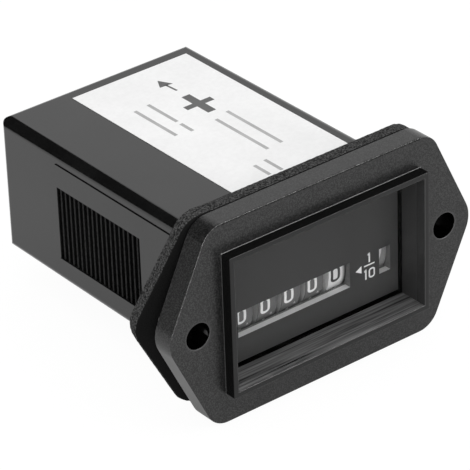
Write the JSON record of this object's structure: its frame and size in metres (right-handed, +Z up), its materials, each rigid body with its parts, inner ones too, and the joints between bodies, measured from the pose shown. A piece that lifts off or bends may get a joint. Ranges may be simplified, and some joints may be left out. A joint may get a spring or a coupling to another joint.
{
  "type": "panel hour meter",
  "caption": "Rectangular panel hour meter: hexagonal two-hole bezel with a window, foam gasket, closed case behind the panel, and a geared wheel counter with a run indicator.",
  "frame": {"origin": "centre of the flange's rear face, midway between the screw holes", "axes": "+X to the right seen from the front, +Y into the panel towards the terminals, +Z up"},
  "size_m": [0.0558, 0.0642, 0.0328],
  "materials": {
    "bezel_plastic": "fine matt texture",
    "lens_clear": "clear polished",
    "dial_black": "matt black",
    "foam_gasket": "open grainy foam",
    "case_plastic": "semi-gloss black",
    "label_paper": "white satin",
    "frame_plastic": "ivory moulding",
    "brass": "stamped brass",
    "steel": "bright steel",
    "wheel_white": "white moulding",
    "wheel_black": "black moulding",
    "pinion_plastic": "natural acetal",
    "magnet": "sintered magnet",
    "core_iron": "stamped soft iron",
    "bobbin_plastic": "moulded",
    "copper_wire": "enamelled wire",
    "board_green": "solder mask",
    "chip_black": "moulded epoxy",
    "capacitor_sleeve": "shrink sleeve",
    "resistor_tan": "lacquer",
    "tinned_brass": "tinned"
  },
  "bodies": {
    "meter": {"bezel": "bezel_plastic", "lens": "lens_clear", "dial_plate": "dial_black", "gasket": "foam_gasket", "case": "case_plastic", "rating_label": "label_paper", "counter_frame": "frame_plastic", "bridge_plate": "brass", "bridge_screws": "steel", "wheel_shaft": "steel", "shaft_clip": "steel", "pinion_shaft": "steel", "stator": "core_iron", "coil_core": "core_iron", "coil_bobbin": "bobbin_plastic", "coil_winding": "copper_wire", "circuit_board": "board_green", "driver_chip": "chip_black", "quartz_crystal": "steel", "capacitor": "capacitor_sleeve", "diode": "chip_black", "resistor": "resistor_tan", "terminal_positive": "tinned_brass", "terminal_negative": "tinned_brass"},
    "arbor_b": {"arbor_b": "steel", "gear_b": "brass", "run_gear": "brass"},
    "arbor_a": {"arbor_a": "steel", "gear_a": "brass"},
    "rotor": {"rotor_spindle": "steel", "rotor_magnet": "magnet"},
    "run_drum": {"run_drum": "wheel_white"},
    "wheel_tenths": {"number_wheel_tenths": "wheel_white"},
    "wheel_units": {"number_wheel_units": "wheel_black"},
    "wheel_tens": {"number_wheel_tens": "wheel_black"},
    "wheel_hundreds": {"number_wheel_hundreds": "wheel_black"},
    "wheel_thousands": {"number_wheel_thousands": "wheel_black"},
    "pinion_1": {"transfer_pinion_1": "pinion_plastic"},
    "pinion_2": {"transfer_pinion_2": "pinion_plastic"},
    "pinion_3": {"transfer_pinion_3": "pinion_plastic"},
    "pinion_4": {"transfer_pinion_4": "pinion_plastic"}
  },
  "joints": [
    {"name": "arbor_b_spin", "type": "hinge", "parent": "meter", "child": "arbor_b", "pos_m": [0.0084, 0.01387, -0.00139], "axis": [1, 0, 0], "continuous": true},
    {"name": "arbor_a_spin", "type": "hinge", "parent": "meter", "child": "arbor_a", "pos_m": [0.0084, 0.01911, 0.00164], "axis": [1, 0, 0], "continuous": true},
    {"name": "rotor_spin", "type": "hinge", "parent": "meter", "child": "rotor", "pos_m": [0.007, 0.02369, -0.0005], "axis": [1, 0, 0], "continuous": true},
    {"name": "run_drum_spin", "type": "hinge", "parent": "meter", "child": "run_drum", "pos_m": [0.0145, 0.00725, -0.0038], "axis": [1, 0, 0], "continuous": true},
    {"name": "wheel_tenths_spin", "type": "hinge", "parent": "meter", "child": "wheel_tenths", "pos_m": [0.00639, 0.00725, -0.0038], "axis": [1, 0, 0], "continuous": true},
    {"name": "wheel_units_spin", "type": "hinge", "parent": "meter", "child": "wheel_units", "pos_m": [0.00198, 0.00725, -0.0038], "axis": [1, 0, 0], "continuous": true},
    {"name": "wheel_tens_spin", "type": "hinge", "parent": "meter", "child": "wheel_tens", "pos_m": [-0.00243, 0.00725, -0.0038], "axis": [1, 0, 0], "continuous": true},
    {"name": "wheel_hundreds_spin", "type": "hinge", "parent": "meter", "child": "wheel_hundreds", "pos_m": [-0.00684, 0.00725, -0.0038], "axis": [1, 0, 0], "continuous": true},
    {"name": "wheel_thousands_spin", "type": "hinge", "parent": "meter", "child": "wheel_thousands", "pos_m": [-0.01125, 0.00725, -0.0038], "axis": [1, 0, 0], "continuous": true},
    {"name": "pinion_1_spin", "type": "hinge", "parent": "meter", "child": "pinion_1", "pos_m": [0.00418, 0.00725, 0.00255], "axis": [1, 0, 0], "continuous": true},
    {"name": "pinion_2_spin", "type": "hinge", "parent": "meter", "child": "pinion_2", "pos_m": [-0.00022, 0.00725, 0.00255], "axis": [1, 0, 0], "continuous": true},
    {"name": "pinion_3_spin", "type": "hinge", "parent": "meter", "child": "pinion_3", "pos_m": [-0.00464, 0.00725, 0.00255], "axis": [1, 0, 0], "continuous": true},
    {"name": "pinion_4_spin", "type": "hinge", "parent": "meter", "child": "pinion_4", "pos_m": [-0.00905, 0.00725, 0.00255], "axis": [1, 0, 0], "continuous": true}
  ],
  "couplings": [
    {"joint": "arbor_a_spin", "follows": "arbor_b_spin", "ratio": -5},
    {"joint": "rotor_spin", "follows": "arbor_b_spin", "ratio": 20},
    {"joint": "run_drum_spin", "follows": "arbor_b_spin", "ratio": -1.3333},
    {"joint": "wheel_tenths_spin", "follows": "arbor_b_spin", "ratio": -0.4},
    {"joint": "wheel_units_spin", "follows": "arbor_b_spin", "ratio": -0.04},
    {"joint": "wheel_tens_spin", "follows": "arbor_b_spin", "ratio": -0.004},
    {"joint": "wheel_hundreds_spin", "follows": "arbor_b_spin", "ratio": -0.0004},
    {"joint": "wheel_thousands_spin", "follows": "arbor_b_spin", "ratio": -0.00004},
    {"joint": "pinion_1_spin", "follows": "arbor_b_spin", "ratio": 0.1},
    {"joint": "pinion_2_spin", "follows": "arbor_b_spin", "ratio": 0.01},
    {"joint": "pinion_3_spin", "follows": "arbor_b_spin", "ratio": 0.001},
    {"joint": "pinion_4_spin", "follows": "arbor_b_spin", "ratio": 0.0001}
  ]
}
